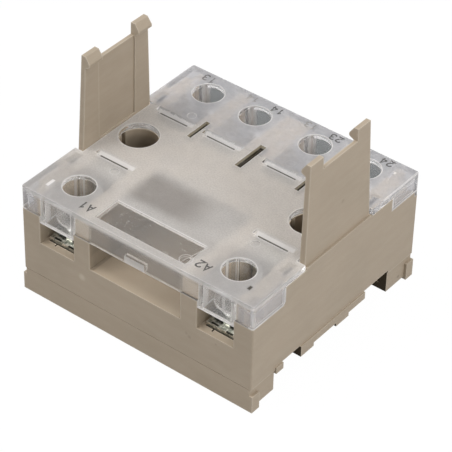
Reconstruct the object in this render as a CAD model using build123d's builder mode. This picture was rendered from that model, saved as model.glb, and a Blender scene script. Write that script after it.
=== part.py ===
"""Relay socket for a 35 mm rail or two screws, in millimetres.

X runs across the width, the coil terminals face -Y, and +Z is up.
The origin is the middle of the bottom, on the surface that the feet stand on.
"""

import os

from build123d import *

# Overall body
body_width = 68.0
body_depth = 62.4
housing_inset = 0.4
corner_radius = 0.4
seam_height = 6.6
seam_groove_depth = 0.15
seam_groove_height = 0.15
housing_top = 29.1
cavity_wall = 1.6

# Base plate
floor_thickness = 1.5
plate_fit = 0.1
foot_rim_depth = 2.7
foot_relief = 0.7
foot_side_relief = 0.7
corner_post_height = 4.75
front_foot_depth = 8.75
rear_foot_depth = 10.0
foot_core_wall = 1.8
foot_core_count = 4
rear_core_width = 1.8
rear_core_depth = 3.0
rear_core_pitch = 3.2
rear_core_count = 2

# Rail groove
rail_seat_height = 7.5
rail_centre_y = -0.95
rail_width = 35.0
rail_flange = 1.0
rail_step_depth = 2.6
rail_step_height = 5.7
rail_block_width = 24.7
rail_block_height = 5.5
rail_rib_height = 4.5
rail_rib_width = 4.9
rail_rib_offset = 13.45
rail_grip = 1.3
claw_thickness = 1.8
claw_width = 12.0
claw_spacing = 36.0
claw_play = 0.2

# Rail lock and its spring
lock_width = 15.6
lock_thickness = 4.0
lock_bottom = 1.8
lock_clearance = 0.2
lock_tail_gap = 0.2
lock_nose_height = 1.6
lock_window_width = 6.0
lock_front_bar = 2.0
lock_rear_bar = 1.9
lock_peg_width = 3.0
lock_peg_depth = 1.0
lock_peg_gap = 0.3
driver_slot_width = 4.0
driver_slot_depth = 0.8
driver_slot_height = 1.2
spring_diameter = 3.4
spring_wire = 0.4
spring_wire_sides = 6
spring_turns = 4
spring_seat_gap = 0.05

# Terminals
outer_terminal_inset = 10.45
terminal_pitch = 14.25
coil_screw_inset = 8.2
coil_tab_y = -11.0
pole_screw_inset = 7.2
pole_tab_y = 10.7
well_width = 10.4
well_floor = 16.3
well_rear_gap = 5.3
slot_width = 9.6
slot_end_gap = 2.3
screw_hole_diameter = 6.0
screw_hole_floor = 11.0

# Contact strips
strip_width = 8.6
strip_thickness = 1.0
strip_overhang = 5.8
strip_collar_diameter = 5.4
strip_collar_height = 1.0
strip_gap = 0.3
strip_gap_depth = 0.5
strip_notch_offset = 1.9
strip_notch_width = 0.35
strip_notch_length = 0.8
leaf_thickness = 0.8
leaf_gap = 1.0
leaf_pinch = 0.3
leaf_flare = 0.7
leaf_bend_radius = 0.9
leaf_foot = 2.7
leaf_height = 10.4
leaf_pinch_height = 7.6
front_leaf_width = 4.6

# Terminal screws and clamp plates
screw_shank_diameter = 3.5
screw_fit = 0.05
screw_head_diameter = 7.0
screw_head_height = 1.9
screw_head_chamfer = 0.5
screw_length = 6.7
screw_tip_chamfer = 0.5
driver_slot_across = 1.0
driver_slot_down = 1.1
cross_across = 4.2
clamp_width = 8.4
clamp_depth = 8.0
clamp_thickness = 1.5
clamp_corner = 0.8
clamp_hole_diameter = 3.9
clamp_groove_width = 2.2
clamp_groove_depth = 0.85
clamp_groove_spacing = 4.1

# Front pocket
pocket_width = 26.6
pocket_floor = 16.4
pocket_depth = 24.4

# Mounting wells
mount_inset = 8.5
mount_y = 0.4
mount_well_diameter = 9.6
mount_well_floor = 12.0
mount_hole_diameter = 4.5
mount_slot_width = 1.4
mount_slot_depth = 1.6

# Barrier slots between the poles
outer_barrier_offset = 7.35
outer_barrier_width = 1.2
outer_barrier_start = 7.4
outer_barrier_end = 14.9
centre_barrier_width = 1.8
centre_barrier_start = 5.8
centre_barrier_end = 15.8
barrier_floor = 20.0

# Terminal cover
cover_gap = 0.1
cover_thickness = 1.6
cover_corner_radius = 0.6
cover_edge_round = 0.35
skirt_thickness = 1.2
skirt_gap = 0.15
skirt_inner_radius = 0.3
corner_void_across = 3.1
corner_void_along = 4.5
skirt_bottom = 24.2
rear_side_skirt_bottom = 25.5
side_skirt_front = 11.6
side_skirt_rear = 10.6
skirt_corner_cut = 0.7
guard_bottom = 22.4
guard_width = 10.2
access_diameter = 7.9
cover_mount_diameter = 9.8
tab_slot_length = 9.0
tab_slot_width = 1.0
tab_lead_length = 11.3
tab_lead_width = 1.4
tab_lead_depth = 0.9
window_width = 25.6
window_depth = 7.6
window_front_gap = 2.3
window_slant = 1.6
window_recess = 0.5
pin_boss_x = 12.0
pin_boss_inset = 3.5
pin_boss_diameter = 3.4
pin_boss_wall = 0.35
ejector_mark_inset = 13.1
ejector_mark_ys = (-13.8, 14.4)
ejector_mark_diameter = 2.2
ejector_mark_depth = 0.2
key_inset = 4.6
key_y = 26.3
key_length = 2.3
key_width = 0.6
key_depth = 0.9
lug_width = 5.8
lug_height = 1.9
lug_depth = 1.8

# Latches that hold the cover down, beside the ends of the hooks
latch_inset = 2.5
latch_y = 15.9
latch_pocket_across = 1.6
latch_pocket_along = 3.9
latch_pocket_depth = 4.4
latch_undercut = 0.4
latch_undercut_height = 1.4
latch_tongue_thickness = 0.9
latch_tongue_width = 3.1
latch_length = 3.8
latch_barb = 0.3
latch_barb_height = 0.9

# Relay hooks
hook_base_width = 24.2
hook_top_width = 21.9
hook_ledge = 0.6
hook_ledge_height = 0.5
hook_thickness = 1.5
hook_top_thickness = 1.2
hook_lean = 0.6
hook_rise = 25.6
hook_claw_width = 4.6
hook_claw_reach = 1.2
hook_claw_drop = 1.8
hook_claw_tip = 0.8
hook_claw_underside = 0.55
hook_claw_round = 0.5
hook_notch_depth = 3.15
hook_panel_recess = 0.3
hook_panel_start = 1.5
hook_notch_gap = 0.6
hook_notch_across = 2.5

# Places worked out from the sizes above
half_width = body_width / 2
front_y = -body_depth / 2
rear_y = body_depth / 2
housing_half = half_width - housing_inset
cover_bottom = housing_top + cover_gap
cover_top = cover_bottom + cover_thickness
hook_top = cover_top + hook_rise
outer_terminal_x = housing_half - outer_terminal_inset
inner_terminal_x = outer_terminal_x - terminal_pitch
outer_barrier_x = outer_terminal_x - outer_barrier_offset
mount_x = housing_half - mount_inset
latch_x = housing_half - latch_inset
key_x = housing_half - key_inset
ejector_mark_x = housing_half - ejector_mark_inset
coil_screw_y = front_y + coil_screw_inset
pole_screw_y = rear_y - pole_screw_inset
floor_top = rail_seat_height + floor_thickness
cavity_half_x = housing_half - cavity_wall
cavity_half_y = rear_y - cavity_wall
groove_front_y = front_y + front_foot_depth
groove_rear_y = rear_y - rear_foot_depth
block_front_y = rail_centre_y - rail_block_width / 2
claw_tip_y = rail_centre_y - rail_width / 2 + rail_grip
lock_front_y = rail_centre_y + rail_width / 2 - rail_grip
side_skirt_front_y = front_y + side_skirt_front
side_skirt_rear_y = rear_y - side_skirt_rear
strip_top = well_floor + strip_thickness
clamp_top = strip_top + clamp_thickness
screw_hole_in_strip = screw_shank_diameter + 2 * screw_fit
past = 1.0

terminals = {
    "a1": (-outer_terminal_x, coil_screw_y, coil_tab_y),
    "a2": (outer_terminal_x, coil_screw_y, coil_tab_y),
    "13": (-outer_terminal_x, pole_screw_y, pole_tab_y),
    "14": (-inner_terminal_x, pole_screw_y, pole_tab_y),
    "23": (inner_terminal_x, pole_screw_y, pole_tab_y),
    "24": (outer_terminal_x, pole_screw_y, pole_tab_y),
}
mount_places = [(-mount_x, mount_y), (mount_x, mount_y)]
latch_places = [(side * latch_x, end * latch_y) for side in (-1, 1) for end in (-1, 1)]
barriers = [
    (-outer_barrier_x, outer_barrier_width, outer_barrier_start, outer_barrier_end),
    (0.0, centre_barrier_width, centre_barrier_start, centre_barrier_end),
    (outer_barrier_x, outer_barrier_width, outer_barrier_start, outer_barrier_end),
]


def outward(there, here):
    """The direction from here towards there, along one axis."""
    return 1 if there > here else -1


def span(low_x, high_x, low_y, high_y, mode=Mode.ADD):
    """A rectangle between two corners, for the sketch that is open."""
    with Locations(((low_x + high_x) / 2, (low_y + high_y) / 2)):
        Rectangle(abs(high_x - low_x), abs(high_y - low_y), mode=mode)


def hook_x(height, inner=False):
    """Distance of the hook's outer or inner face from the middle at a height."""
    share = (height - housing_top) / (hook_top - housing_top)
    outer = housing_half - hook_ledge - hook_lean * share
    thickness = hook_thickness + (hook_top_thickness - hook_thickness) * share
    return outer - thickness if inner else outer


# Housing, with the relay hooks moulded onto its sides
with BuildPart() as housing:
    with BuildSketch(Plane.XY.offset(seam_height)):
        RectangleRounded(2 * housing_half, body_depth, corner_radius)
    extrude(amount=skirt_bottom - seam_height)

    # Above the skirts' ledge the corners step in, and the sides between the skirts do not
    with BuildSketch(Plane.XY.offset(skirt_bottom)):
        core_inset = skirt_thickness + skirt_gap
        void_x = housing_half - corner_void_across
        void_y = rear_y - corner_void_along
        Rectangle(2 * void_x, body_depth - 2 * core_inset)
        Rectangle(2 * (housing_half - core_inset), 2 * void_y)
        span(-housing_half, housing_half, side_skirt_front_y, side_skirt_rear_y)
    extrude(amount=housing_top - skirt_bottom)
    with BuildSketch(Plane.XY.offset(skirt_bottom)):
        rear_wall_y = rear_y - core_inset
        span(-housing_half, housing_half, side_skirt_rear_y - past, rear_wall_y)
    extrude(amount=rear_side_skirt_bottom - skirt_bottom)

    # Underside: the cavity for the base plate's floor, and the rail groove through the side walls
    with BuildSketch(Plane.XY.offset(seam_height)):
        Rectangle(2 * cavity_half_x, 2 * cavity_half_y)
    extrude(amount=floor_top - seam_height, mode=Mode.SUBTRACT)
    with BuildSketch(Plane.XY.offset(seam_height)):
        span(-housing_half, housing_half, groove_front_y, groove_rear_y)
    extrude(amount=rail_seat_height - seam_height, mode=Mode.SUBTRACT)

    # Terminal wells, open at the front or back, each with a slot for its contact strip
    with BuildSketch(Plane.XY.offset(well_floor)):
        for x, screw_y, tab_y in terminals.values():
            out = outward(screw_y, tab_y)
            well_end = screw_y - out * well_rear_gap
            slot_end = tab_y - out * slot_end_gap
            face = out * rear_y
            span(x - well_width / 2, x + well_width / 2, well_end, face)
            span(x - slot_width / 2, x + slot_width / 2, slot_end, well_end)
    extrude(amount=housing_top - well_floor, mode=Mode.SUBTRACT)
    with BuildSketch(Plane.XY.offset(screw_hole_floor)):
        for x, screw_y, tab_y in terminals.values():
            with Locations((x, screw_y)):
                Circle(screw_hole_diameter / 2)
    extrude(amount=well_floor - screw_hole_floor, mode=Mode.SUBTRACT)

    # A narrow gap before the end of each strip, with a notch in its outer side
    with BuildSketch(Plane.XY.offset(well_floor - strip_gap_depth)):
        for x, screw_y, tab_y in terminals.values():
            out = outward(screw_y, tab_y)
            strip_end = screw_y + out * strip_overhang
            gap_end = strip_end + out * strip_gap
            notch_x = x - strip_notch_offset
            notch_end = gap_end + out * strip_notch_length
            span(x - strip_width / 2, x + strip_width / 2, strip_end, gap_end)
            span(notch_x - strip_notch_width / 2, notch_x + strip_notch_width / 2, gap_end, notch_end)
    extrude(amount=strip_gap_depth, mode=Mode.SUBTRACT)

    # Front pocket under the window
    with BuildSketch(Plane.XY.offset(pocket_floor)):
        span(-pocket_width / 2, pocket_width / 2, front_y, front_y + pocket_depth)
    extrude(amount=housing_top - pocket_floor, mode=Mode.SUBTRACT)

    # Mounting wells with a relief slot, and the screw holes below them
    with BuildSketch(Plane.XY.offset(mount_well_floor)):
        for x, y in mount_places:
            with Locations((x, y)):
                Circle(mount_well_diameter / 2)
            with Locations((x - mount_well_diameter / 2, y)):
                Rectangle(2 * mount_slot_depth, mount_slot_width)
    extrude(amount=housing_top - mount_well_floor, mode=Mode.SUBTRACT)
    with BuildSketch(Plane.XY.offset(floor_top)):
        with Locations(*mount_places):
            Circle(mount_hole_diameter / 2)
    extrude(amount=mount_well_floor - floor_top, mode=Mode.SUBTRACT)

    # Barrier slots
    with BuildSketch(Plane.XY.offset(barrier_floor)):
        for x, width, start, end in barriers:
            span(x - width / 2, x + width / 2, start, end)
    extrude(amount=housing_top - barrier_floor, mode=Mode.SUBTRACT)

    # Pockets for the cover's latches, undercut towards the sides near their floors
    pocket_floor_z = housing_top - latch_pocket_depth
    with BuildSketch(Plane.XY.offset(pocket_floor_z)):
        with Locations(*latch_places):
            Rectangle(latch_pocket_across, latch_pocket_along)
    extrude(amount=latch_pocket_depth, mode=Mode.SUBTRACT)
    with BuildSketch(Plane.XY.offset(pocket_floor_z)):
        for x, y in latch_places:
            outer_x = x + outward(x, 0) * latch_pocket_across / 2
            with Locations((outer_x, y)):
                Rectangle(2 * latch_undercut, latch_pocket_along)
    extrude(amount=latch_undercut_height, mode=Mode.SUBTRACT)

    # Relay hooks: a ledge, a tapering plate and two claws on each side
    ledge_top = housing_top + hook_ledge_height
    notch_floor = hook_top - hook_notch_depth
    claw_inner_y = hook_top_width / 2 - hook_claw_width
    claw_tip_high = hook_top - hook_claw_drop
    claw_tip_low = claw_tip_high - hook_claw_tip
    claw_root = claw_tip_low - hook_claw_underside
    with BuildSketch(Plane.XY.offset(housing_top)):
        for side in (-1, 1):
            inner = side * hook_x(housing_top, True)
            span(inner, side * housing_half, -hook_base_width / 2, hook_base_width / 2)
    extrude(amount=hook_ledge_height)
    for side in (-1, 1):
        claw_tip_x = side * (hook_x(hook_top, True) - hook_claw_reach)
        with BuildSketch(Plane.XZ):
            with BuildLine():
                Polyline(
                    (side * hook_x(housing_top), housing_top),
                    (side * hook_x(hook_top), hook_top),
                    (side * hook_x(hook_top, True), hook_top),
                    (side * hook_x(housing_top, True), housing_top),
                    close=True,
                )
            make_face()
        extrude(amount=hook_base_width / 2, both=True)
        with BuildSketch(Plane.XZ) as claw:
            with BuildLine():
                Polyline(
                    (side * hook_x(hook_top), hook_top),
                    (side * hook_x(hook_top, True), hook_top),
                    (claw_tip_x, claw_tip_high),
                    (claw_tip_x, claw_tip_low),
                    (side * hook_x(claw_root, True), claw_root),
                    (side * hook_x(claw_root), claw_root),
                    close=True,
                )
            make_face()
            corners = claw.vertices().sort_by(Axis((0, 0, 0), (-side, 0, 0)))
            fillet(corners[-2:], hook_claw_round)
        extrude(amount=hook_base_width / 2, both=True)
        with BuildSketch(Plane.XZ):
            with BuildLine():
                Polyline(
                    (side * (hook_x(ledge_top + hook_panel_start, True) + hook_panel_recess),
                     ledge_top + hook_panel_start),
                    (side * (hook_x(hook_top, True) + hook_panel_recess), hook_top),
                    (claw_tip_x - side * past, hook_top),
                    (claw_tip_x - side * past, ledge_top + hook_panel_start),
                    close=True,
                )
            make_face()
        extrude(amount=claw_inner_y, both=True, mode=Mode.SUBTRACT)
    with BuildSketch(Plane.YZ):
        span(-claw_inner_y, claw_inner_y, notch_floor, hook_top + past)
        for end in (-1, 1):
            with BuildLine():
                Polyline(
                    (end * hook_base_width / 2, ledge_top),
                    (end * hook_top_width / 2, hook_top),
                    (end * hook_top_width / 2, hook_top + past),
                    (end * (hook_base_width / 2 + past), hook_top + past),
                    (end * (hook_base_width / 2 + past), ledge_top),
                    close=True,
                )
            make_face()
    extrude(amount=half_width, both=True, mode=Mode.SUBTRACT)


# Base plate with the feet and the rail groove
with BuildPart() as base_plate:
    # Feet, with a rim at each end that stands on the surface
    with BuildSketch(Plane.XY):
        span(-half_width, half_width, front_y, front_y + foot_rim_depth)
        span(-half_width, half_width, rear_y - foot_rim_depth, rear_y)
    extrude(amount=corner_post_height)
    with BuildSketch(Plane.XY.offset(foot_relief)):
        side_x = half_width - foot_side_relief
        RectangleRounded(2 * side_x, body_depth, corner_radius)
        span(-half_width, half_width, groove_front_y, groove_rear_y, Mode.SUBTRACT)
    extrude(amount=seam_height - seam_groove_height - foot_relief)

    # A shallow groove under the seam, where the two mouldings meet
    with BuildSketch(Plane.XY.offset(seam_height - seam_groove_height)):
        RectangleRounded(
            2 * (side_x - seam_groove_depth),
            body_depth - 2 * seam_groove_depth,
            corner_radius,
        )
        span(-half_width, half_width, groove_front_y, groove_rear_y, Mode.SUBTRACT)
    extrude(amount=seam_groove_height)

    # Floor inside the housing's cavity
    with BuildSketch(Plane.XY.offset(seam_height)):
        Rectangle(2 * (cavity_half_x - plate_fit), 2 * (cavity_half_y - plate_fit))
    extrude(amount=floor_top - seam_height)
    with BuildSketch(Plane.XY.offset(seam_height)):
        span(-half_width, half_width, groove_front_y, groove_rear_y)
    extrude(amount=rail_seat_height - seam_height, mode=Mode.SUBTRACT)

    # Step beside the front foot, and the block that fills the rail's channel
    with BuildSketch(Plane.XY.offset(rail_step_height)):
        span(-half_width, half_width, groove_front_y, groove_front_y + rail_step_depth)
    extrude(amount=rail_seat_height - rail_step_height)
    with BuildSketch(Plane.XY.offset(rail_block_height)):
        span(-half_width, half_width, block_front_y, block_front_y + rail_block_width)
    extrude(amount=rail_seat_height - rail_block_height)
    with BuildSketch(Plane.XY.offset(rail_rib_height)):
        for start in (block_front_y, block_front_y + rail_rib_offset):
            span(-half_width, half_width, start, start + rail_rib_width)
    extrude(amount=rail_block_height - rail_rib_height)

    # Fixed claws that hold the rail's front flange
    claw_top = rail_seat_height - rail_flange - claw_play
    with BuildSketch(Plane.XY.offset(claw_top - claw_thickness)):
        for x in (-claw_spacing / 2, claw_spacing / 2):
            span(x - claw_width / 2, x + claw_width / 2, groove_front_y, claw_tip_y)
    extrude(amount=claw_thickness)

    # Channel for the rail lock through the rear foot, with the peg that the spring leans on
    channel_half = lock_width / 2 + lock_clearance
    channel_bottom = lock_bottom - lock_clearance
    channel_top = lock_bottom + lock_thickness + lock_clearance
    peg_rear_y = rear_y - lock_tail_gap - lock_rear_bar - lock_clearance
    peg_front_y = peg_rear_y - lock_peg_depth
    with BuildSketch(Plane.XY.offset(channel_bottom)):
        span(-channel_half, channel_half, groove_rear_y, rear_y)
    extrude(amount=channel_top - channel_bottom, mode=Mode.SUBTRACT)
    with BuildSketch(Plane.XY.offset(channel_bottom + lock_peg_gap)):
        span(-lock_peg_width / 2, lock_peg_width / 2, peg_front_y, peg_rear_y)
    extrude(amount=channel_top - channel_bottom - lock_peg_gap)

    # Hollows in the underside of the front foot
    core_pitch = (2 * side_x - foot_core_wall) / foot_core_count
    core_low_y = front_y + foot_rim_depth
    core_high_y = groove_front_y - foot_core_wall
    with BuildSketch(Plane.XY.offset(foot_relief)):
        for number in range(foot_core_count):
            low_x = -side_x + foot_core_wall + number * core_pitch
            span(low_x, low_x + core_pitch - foot_core_wall, core_low_y, core_high_y)
    extrude(amount=seam_height - foot_relief - foot_core_wall, mode=Mode.SUBTRACT)

    # Two small hollows at each end of the rear foot, open towards the rail
    with BuildSketch(Plane.XY.offset(foot_relief + foot_core_wall)):
        for side in (-1, 1):
            for number in range(rear_core_count):
                x = side * (side_x - foot_core_wall - number * rear_core_pitch)
                span(x, x - side * rear_core_width, groove_rear_y, groove_rear_y + rear_core_depth)
    extrude(amount=seam_height - foot_relief - 2 * foot_core_wall, mode=Mode.SUBTRACT)

    # Mounting screw holes
    with BuildSketch(Plane.XY):
        with Locations(*mount_places):
            Circle(mount_hole_diameter / 2)
    extrude(amount=floor_top, mode=Mode.SUBTRACT)


# Clear terminal cover
with BuildPart() as terminal_cover:
    with BuildSketch(Plane.XY.offset(cover_bottom)):
        RectangleRounded(2 * housing_half, body_depth, cover_corner_radius)
    extrude(amount=cover_thickness)
    fillet(terminal_cover.faces().sort_by(Axis.Z)[-1].edges(), cover_edge_round)

    # Skirts round the two ends
    with BuildSketch(Plane.XY.offset(skirt_bottom)):
        RectangleRounded(2 * housing_half, body_depth, cover_corner_radius)
        RectangleRounded(
            2 * (housing_half - skirt_thickness),
            body_depth - 2 * skirt_thickness,
            skirt_inner_radius,
            mode=Mode.SUBTRACT,
        )
        span(-housing_half, housing_half, side_skirt_front_y, side_skirt_rear_y, Mode.SUBTRACT)
    extrude(amount=cover_bottom - skirt_bottom)
    with BuildSketch(Plane.YZ):
        rear_skirt_inner = rear_y - skirt_thickness - skirt_gap
        with BuildLine():
            Polyline(
                (side_skirt_rear_y - past, skirt_bottom - past),
                (side_skirt_rear_y - past, rear_side_skirt_bottom),
                (rear_skirt_inner, rear_side_skirt_bottom),
                (rear_skirt_inner, skirt_bottom - past),
                close=True,
            )
        make_face()
        with BuildLine():
            Polyline(
                (side_skirt_front_y, skirt_bottom),
                (side_skirt_front_y, skirt_bottom + skirt_corner_cut),
                (side_skirt_front_y - skirt_corner_cut, skirt_bottom),
                close=True,
            )
        make_face()
    extrude(amount=half_width, both=True, mode=Mode.SUBTRACT)

    # Finger guards under the access holes, whose fronts close the top of each wire window
    with BuildSketch(Plane.XY.offset(guard_bottom)):
        for x, screw_y, tab_y in terminals.values():
            out = outward(screw_y, tab_y)
            span(x - guard_width / 2, x + guard_width / 2, screw_y, out * rear_y)
            with Locations((x, screw_y)):
                Circle(guard_width / 2)
    extrude(amount=cover_bottom - guard_bottom)
    with BuildSketch(Plane.XY.offset(guard_bottom)):
        for x, screw_y, tab_y in terminals.values():
            out = outward(screw_y, tab_y)
            wall_y = out * (rear_y - skirt_thickness)
            span(x - access_diameter / 2, x + access_diameter / 2, screw_y, wall_y)
            with Locations((x, screw_y)):
                Circle(guard_width / 2, mode=Mode.SUBTRACT)
                Circle(access_diameter / 2)
    extrude(amount=cover_bottom - guard_bottom, mode=Mode.SUBTRACT)

    # Lug in the middle of the front skirt
    with BuildSketch(Plane.XY.offset(skirt_bottom)):
        span(-lug_width / 2, lug_width / 2, front_y, front_y + lug_depth)
    extrude(amount=lug_height)

    # Latches: a tongue with a barb that snaps under the pocket's wall
    tongue_end = cover_bottom - latch_length
    for x, y in latch_places:
        out = outward(x, 0)
        tongue_x = x + out * latch_tongue_thickness / 2
        with BuildSketch(Plane.XZ.offset(-y)):
            with BuildLine():
                Polyline(
                    (tongue_x, cover_bottom),
                    (tongue_x - out * latch_tongue_thickness, cover_bottom),
                    (tongue_x - out * latch_tongue_thickness, tongue_end),
                    (tongue_x, tongue_end),
                    (tongue_x + out * latch_barb, tongue_end + latch_barb_height),
                    (tongue_x, tongue_end + latch_barb_height),
                    close=True,
                )
            make_face()
        extrude(amount=latch_tongue_width / 2, both=True)

    # Holes and slots through the top
    with BuildSketch(Plane.XY.offset(cover_bottom)):
        for x, screw_y, tab_y in terminals.values():
            with Locations((x, screw_y)):
                Circle(access_diameter / 2)
            with Locations((x, tab_y)):
                Rectangle(tab_slot_length, tab_slot_width)
        with Locations(*mount_places):
            Circle(cover_mount_diameter / 2)
        for x, width, start, end in barriers:
            span(x - width / 2, x + width / 2, start, end)
        for side in (-1, 1):
            notch_half = hook_base_width / 2 + hook_notch_gap
            span(side * (housing_half - hook_notch_across), side * housing_half, -notch_half, notch_half)
    extrude(amount=cover_thickness, mode=Mode.SUBTRACT)

    # Sloping lead-in behind each tab slot
    for x, screw_y, tab_y in terminals.values():
        with BuildSketch(Plane.YZ.offset(x)):
            with BuildLine():
                Polyline(
                    (tab_y, cover_top - tab_lead_depth),
                    (tab_y + tab_slot_width / 2, cover_top - tab_lead_depth),
                    (tab_y + tab_slot_width / 2 + tab_lead_width, cover_top),
                    (tab_y, cover_top),
                    close=True,
                )
            make_face()
        extrude(amount=tab_lead_length / 2, both=True, mode=Mode.SUBTRACT)

    # Thinner clear window over the front pocket, with one slanted end
    window_front = front_y + window_front_gap
    window_rear = window_front + window_depth
    with BuildSketch(Plane.XY.offset(cover_bottom)):
        with BuildLine():
            Polyline(
                (-window_width / 2, window_front),
                (window_width / 2 - window_slant, window_front),
                (window_width / 2, window_rear),
                (-window_width / 2, window_rear),
                close=True,
            )
        make_face()
    extrude(amount=window_recess, mode=Mode.SUBTRACT)

    # Round boss beside the window's slanted end, outlined by a groove in the underside
    with BuildSketch(Plane.XY.offset(cover_bottom)):
        with Locations((pin_boss_x, front_y + pin_boss_inset)):
            Circle(pin_boss_diameter / 2)
            Circle(pin_boss_diameter / 2 - pin_boss_wall, mode=Mode.SUBTRACT)
    extrude(amount=window_recess, mode=Mode.SUBTRACT)

    # Ejector marks in the top
    with BuildSketch(Plane.XY.offset(cover_top - ejector_mark_depth)):
        for side in (-1, 1):
            for y in ejector_mark_ys:
                with Locations((side * ejector_mark_x, y)):
                    Circle(ejector_mark_diameter / 2)
    extrude(amount=ejector_mark_depth, mode=Mode.SUBTRACT)

    # Small blind slots in the underside near the corners
    with BuildSketch(Plane.XY.offset(cover_bottom)):
        for side in (-1, 1):
            for end in (-1, 1):
                with Locations((side * key_x, end * key_y)):
                    Rectangle(key_width, key_length)
    extrude(amount=key_depth, mode=Mode.SUBTRACT)


# Rail lock, in its locked place
lock_rear_y = rear_y - lock_tail_gap
with BuildPart() as rail_lock:
    with BuildSketch(Plane.YZ):
        lock_top = lock_bottom + lock_thickness
        with BuildLine():
            Polyline(
                (lock_front_y, lock_top),
                (lock_front_y, lock_top - lock_nose_height),
                (groove_rear_y - lock_clearance, lock_bottom),
                (lock_rear_y, lock_bottom),
                (lock_rear_y, lock_top),
                close=True,
            )
        make_face()
    extrude(amount=lock_width / 2, both=True)
    window_front_y = groove_rear_y + lock_front_bar
    window_rear_y = lock_rear_y - lock_rear_bar
    with BuildSketch(Plane.XY.offset(lock_bottom)):
        half_window = lock_window_width / 2
        span(-half_window, half_window, window_front_y, window_rear_y)
    extrude(amount=lock_thickness, mode=Mode.SUBTRACT)
    with BuildSketch(Plane.XZ.offset(-lock_rear_y)):
        with Locations((0, lock_bottom + lock_thickness / 2)):
            Rectangle(driver_slot_width, driver_slot_height)
    extrude(amount=driver_slot_depth, mode=Mode.SUBTRACT)

# Lock spring, between the base plate's peg and the front bar of the lock's window
spring_space = peg_front_y - window_front_y - 2 * spring_seat_gap - spring_wire
spring_start = (0, window_front_y + spring_seat_gap + spring_wire / 2, lock_bottom + lock_thickness / 2)
coil_radius = (spring_diameter - spring_wire) / 2
with BuildPart() as lock_spring:
    with BuildLine() as coil:
        Helix(spring_space / spring_turns, spring_space, coil_radius, spring_start, (0, 1, 0))
    with BuildSketch(Plane(origin=coil.line @ 0, z_dir=coil.line % 0)):
        RegularPolygon(spring_wire / 2, spring_wire_sides)
    sweep(path=coil.line)


def make_contact(x, screw_y, tab_y):
    """A folded strip: the tapped end under the screw, and two leaves that grip the relay's tab."""
    out = outward(screw_y, tab_y)
    middle = well_floor + strip_thickness / 2
    outer_end = screw_y + out * strip_overhang
    far_leaf = tab_y - out * (leaf_gap + leaf_thickness) / 2
    near_leaf = tab_y + out * (leaf_gap + leaf_thickness) / 2
    with BuildPart() as contact:
        with BuildSketch(Plane.XY.offset(well_floor)):
            span(x - strip_width / 2, x + strip_width / 2, far_leaf + out * leaf_bend_radius, outer_end)
        extrude(amount=strip_thickness)
        with BuildSketch(Plane.XY.offset(well_floor - strip_collar_height)):
            with Locations((x, screw_y)):
                Circle(strip_collar_diameter / 2)
        extrude(amount=strip_collar_height)
        for leaf_y, lean, width in ((far_leaf, out, strip_width), (near_leaf, -out, front_leaf_width)):
            with BuildSketch(Plane.YZ.offset(x)):
                with BuildLine():
                    FilletPolyline(
                        (leaf_y + out * leaf_foot, middle),
                        (leaf_y, middle),
                        (leaf_y, middle + leaf_foot),
                        (leaf_y + lean * leaf_pinch, middle + leaf_pinch_height),
                        (leaf_y - lean * (leaf_flare - leaf_pinch), middle + leaf_height),
                        radius=leaf_bend_radius,
                    )
                trace(line_width=leaf_thickness)
            extrude(amount=width / 2, both=True)
        with BuildSketch(Plane.XY.offset(well_floor - strip_collar_height)):
            with Locations((x, screw_y)):
                Circle(screw_hole_in_strip / 2)
        extrude(amount=strip_collar_height + strip_thickness, mode=Mode.SUBTRACT)
    return contact.part


def make_clamp(x, screw_y):
    """A square clamp plate with two wire grooves in its underside."""
    with BuildPart() as clamp:
        with BuildSketch(Plane.XY.offset(strip_top)) as outline:
            with Locations((x, screw_y)):
                Rectangle(clamp_width, clamp_depth)
            chamfer(outline.vertices(), clamp_corner)
            with Locations((x, screw_y)):
                Circle(clamp_hole_diameter / 2, mode=Mode.SUBTRACT)
        extrude(amount=clamp_thickness)
        with BuildSketch(Plane.XZ.offset(-screw_y)):
            for side in (-1, 1):
                with Locations((x + side * clamp_groove_spacing / 2, strip_top)):
                    Rectangle(clamp_groove_width, 2 * clamp_groove_depth)
        extrude(amount=clamp_depth / 2, both=True, mode=Mode.SUBTRACT)
    return clamp.part


def make_screw(x, screw_y):
    """A pan head screw with a combined slot and cross, seated on its clamp plate."""
    head_radius = screw_head_diameter / 2
    shank_radius = screw_shank_diameter / 2
    head_top = clamp_top + screw_head_height
    tip = clamp_top - screw_length
    with BuildPart() as screw:
        with BuildSketch(Plane(origin=(x, screw_y, 0), x_dir=(1, 0, 0), z_dir=(0, -1, 0))):
            with BuildLine():
                Polyline(
                    (0, tip),
                    (shank_radius - screw_tip_chamfer, tip),
                    (shank_radius, tip + screw_tip_chamfer),
                    (shank_radius, clamp_top),
                    (head_radius, clamp_top),
                    (head_radius, head_top - screw_head_chamfer),
                    (head_radius - screw_head_chamfer, head_top),
                    (0, head_top),
                    close=True,
                )
            make_face()
        revolve(axis=Axis((x, screw_y, 0), (0, 0, 1)))
        with BuildSketch(Plane.XY.offset(head_top - driver_slot_down)):
            with Locations((x, screw_y)):
                Rectangle(screw_head_diameter, driver_slot_across)
                Rectangle(driver_slot_across, cross_across)
        extrude(amount=driver_slot_down, mode=Mode.SUBTRACT)
    return screw.part


os.makedirs("parts", exist_ok=True)
pieces = {
    "housing": housing.part,
    "base_plate": base_plate.part,
    "terminal_cover": terminal_cover.part,
    "rail_lock": rail_lock.part,
    "lock_spring": lock_spring.part,
}
for name, (x, screw_y, tab_y) in terminals.items():
    pieces["contact_" + name] = make_contact(x, screw_y, tab_y)
    pieces["clamp_" + name] = make_clamp(x, screw_y)
    pieces["screw_" + name] = make_screw(x, screw_y)
for name, piece in pieces.items():
    piece.label = name
    export_step(piece, "parts/" + name + ".step")
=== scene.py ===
import math

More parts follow.
